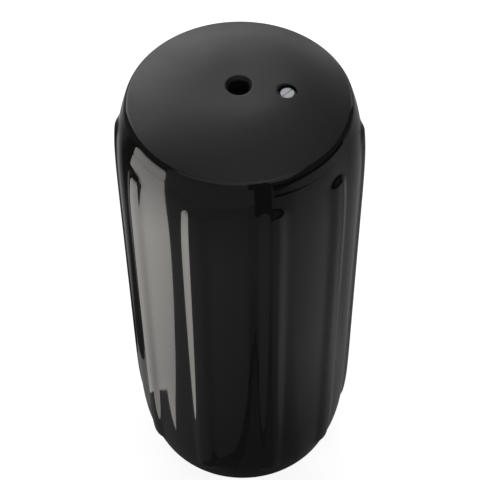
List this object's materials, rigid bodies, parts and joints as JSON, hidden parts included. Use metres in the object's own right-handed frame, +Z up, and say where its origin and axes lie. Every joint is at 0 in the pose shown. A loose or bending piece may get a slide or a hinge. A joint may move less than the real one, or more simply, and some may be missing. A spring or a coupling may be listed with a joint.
{
  "type": "pneumatic fender",
  "caption": "Ribbed cylindrical inflatable boat fender with shallow domed ends, a rope passage through its middle and a slotted screw valve sunk in one end",
  "frame": {"origin": "on the fender's axis, in the plane of the flat ring of its lower end", "axes": "+Z up along the axis towards the end that holds the valve, -Y towards the viewer of the picture, +X to the right, where the valve lies"},
  "size_m": [0.2236, 0.2178, 0.512],
  "materials": {
    "black_vinyl": "glossy black flexible vinyl on the ribbed side, satin on the end faces",
    "black_plastic": "satin black moulded plastic",
    "seal_rubber": "matt black rubber ring",
    "grey_plastic": "light grey moulded plastic, slightly glossy"
  },
  "bodies": {
    "fender": {"fender_body": "black_vinyl", "valve_body": "black_plastic"},
    "seal": {"valve_seal": "seal_rubber"},
    "screw": {"valve_screw": "grey_plastic"}
  },
  "joints": [
    {"name": "screw_lift", "type": "slide", "parent": "fender", "child": "seal", "axis": [0, 0, 1], "range_m": [0, 0.006]},
    {"name": "screw_turn", "type": "hinge", "parent": "seal", "child": "screw", "pos_m": [0.0408, -0.0068, 0.506], "axis": [0, 0, 1], "range_deg": [0, 1440]}
  ],
  "couplings": [
    {"joint": "screw_turn", "follows": "screw_lift", "rad_per_m": 4188.8}
  ]
}
